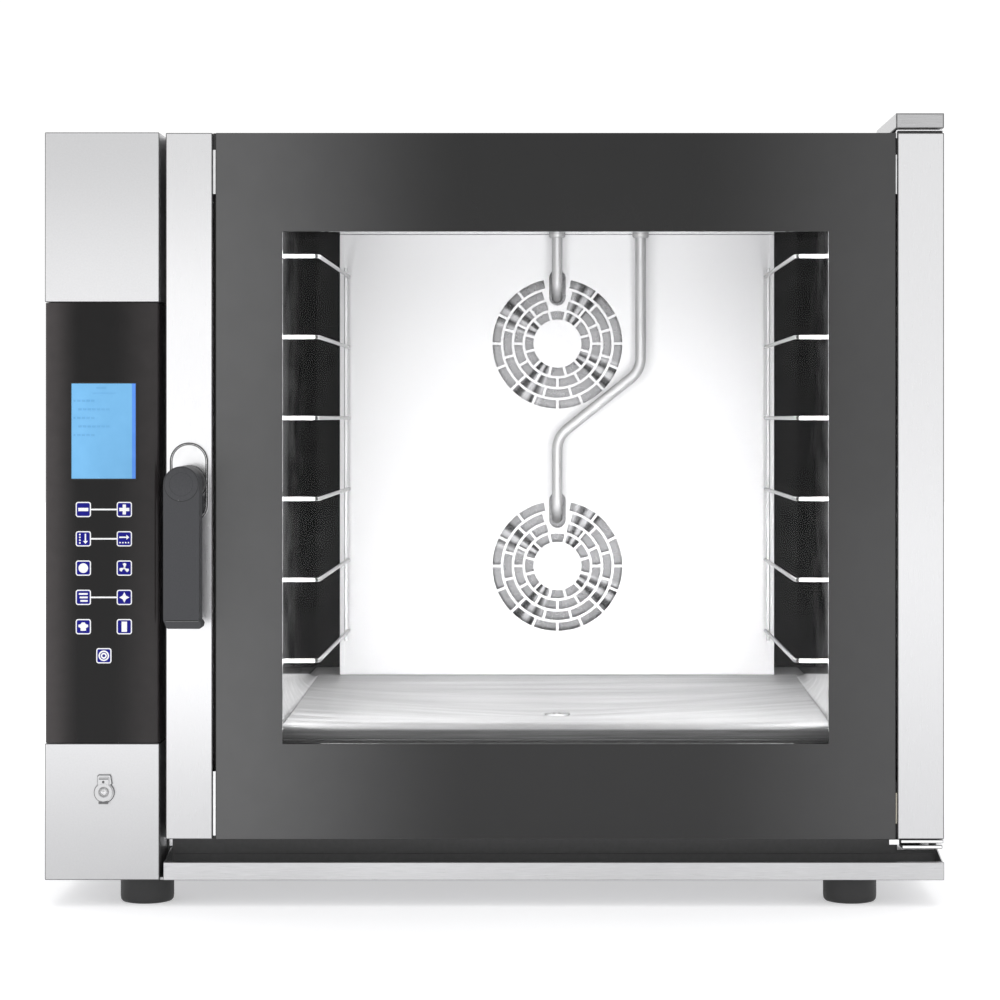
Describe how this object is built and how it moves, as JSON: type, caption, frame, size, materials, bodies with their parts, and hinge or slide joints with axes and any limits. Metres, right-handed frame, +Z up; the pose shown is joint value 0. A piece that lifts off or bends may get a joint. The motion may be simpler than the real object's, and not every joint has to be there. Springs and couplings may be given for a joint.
{
  "type": "combi steamer oven",
  "caption": "Countertop combi steamer oven with a hinged glass door, turning lever handle, control column, wire tray racks, fans behind a slotted baffle and a drip tray.",
  "frame": {"origin": "middle of the bounding box at the height of the surface it stands on", "axes": "+X to the right as seen from the front, +Y from the door to the back, +Z up"},
  "size_m": [0.935, 0.93, 0.825],
  "materials": {
    "brushed_steel": "brushed",
    "bright_steel": "polished",
    "machined_steel": "machined",
    "dark_steel": "dark coated",
    "gloss_black": "glossy",
    "grained_plastic": "fine grain",
    "door_glass": "clear with a dark printed border",
    "clear_glass": "clear",
    "rubber": "matt",
    "mineral_wool": "fibrous",
    "circuit_board": "solder mask"
  },
  "bodies": {
    "body": {"base_pan": "brushed_steel", "cavity_back_wall": "bright_steel", "cavity_ceiling": "bright_steel", "cavity_floor": "bright_steel", "cavity_left_wall": "dark_steel", "cavity_right_wall": "dark_steel", "control_panel": "gloss_black", "cooling_fan_frame": "grained_plastic", "display_module": "circuit_board", "door_gasket": "rubber", "drain_pipe": "machined_steel", "fan_baffle": "bright_steel", "fan_motor_lower": "dark_steel", "fan_motor_upper": "dark_steel", "foot_front_left": "rubber", "foot_front_right": "rubber", "foot_rear_left": "rubber", "foot_rear_right": "rubber", "front_frame": "dark_steel", "heater_lower": "dark_steel", "heater_upper": "dark_steel", "hinge_base": "brushed_steel", "hinge_cap": "brushed_steel", "hinge_pin_bottom": "machined_steel", "hinge_pin_top": "machined_steel", "insulation_pad": "mineral_wool", "insulation_sleeve": "mineral_wool", "latch_keeper": "machined_steel", "left_side_cover": "brushed_steel", "lower_column_panel": "brushed_steel", "power_board": "circuit_board", "probe_socket": "bright_steel", "rear_cover": "brushed_steel", "right_side_cover": "brushed_steel", "steam_tube_lower": "bright_steel", "steam_tube_upper": "bright_steel", "top_cover": "brushed_steel", "touch_board": "circuit_board", "upper_column_panel": "brushed_steel", "vent_pipe": "machined_steel", "water_valve": "grained_plastic"},
    "door": {"door_left_column": "brushed_steel", "door_right_column": "brushed_steel", "door_outer_glass": "door_glass", "door_inner_glass": "clear_glass", "door_top_rail": "dark_steel", "door_bottom_rail": "dark_steel", "handle_escutcheon": "bright_steel"},
    "handle": {"door_handle": "grained_plastic", "handle_spindle": "machined_steel", "latch_hook": "machined_steel"},
    "fan_upper": {"fan_wheel_upper": "bright_steel", "fan_shaft_upper": "machined_steel"},
    "fan_lower": {"fan_wheel_lower": "bright_steel", "fan_shaft_lower": "machined_steel"},
    "cooling_fan": {"cooling_fan_rotor": "grained_plastic"},
    "probe_flap": {"probe_flap": "bright_steel"},
    "drip_tray": {"drip_tray": "brushed_steel"},
    "rack_left": {"rack_left": "bright_steel"},
    "rack_right": {"rack_right": "bright_steel"}
  },
  "joints": [
    {"name": "door_swing", "type": "hinge", "parent": "body", "child": "door", "pos_m": [0.45, -0.371, 0.4375], "axis": [0, 0, 1], "range_deg": [0, 110]},
    {"name": "handle_turn", "type": "hinge", "parent": "door", "child": "handle", "pos_m": [-0.3173, -0.42, 0.4405], "axis": [0, 1, 0], "range_deg": [0, 90]},
    {"name": "fan_upper_spin", "type": "hinge", "parent": "body", "child": "fan_upper", "pos_m": [0.0655, 0.22, 0.6], "axis": [0, 1, 0], "continuous": true},
    {"name": "fan_lower_spin", "type": "hinge", "parent": "body", "child": "fan_lower", "pos_m": [0.0655, 0.22, 0.325], "axis": [0, 1, 0], "continuous": true},
    {"name": "cooling_fan_spin", "type": "hinge", "parent": "body", "child": "cooling_fan", "pos_m": [-0.385, 0.43485, 0.42], "axis": [0, 1, 0], "continuous": true},
    {"name": "probe_flap_lift", "type": "hinge", "parent": "body", "child": "probe_flap", "pos_m": [-0.4054, -0.4045, 0.1343], "axis": [-1, 0, 0], "range_deg": [0, 100]},
    {"name": "drip_tray_slide", "type": "slide", "parent": "body", "child": "drip_tray", "axis": [0, -1, 0], "range_m": [0, 0.06]},
    {"name": "rack_left_lift", "type": "slide", "parent": "body", "child": "rack_left", "axis": [0, 0, 1], "range_m": [0, 0.012]},
    {"name": "rack_right_lift", "type": "slide", "parent": "body", "child": "rack_right", "axis": [0, 0, 1], "range_m": [0, 0.012]}
  ]
}
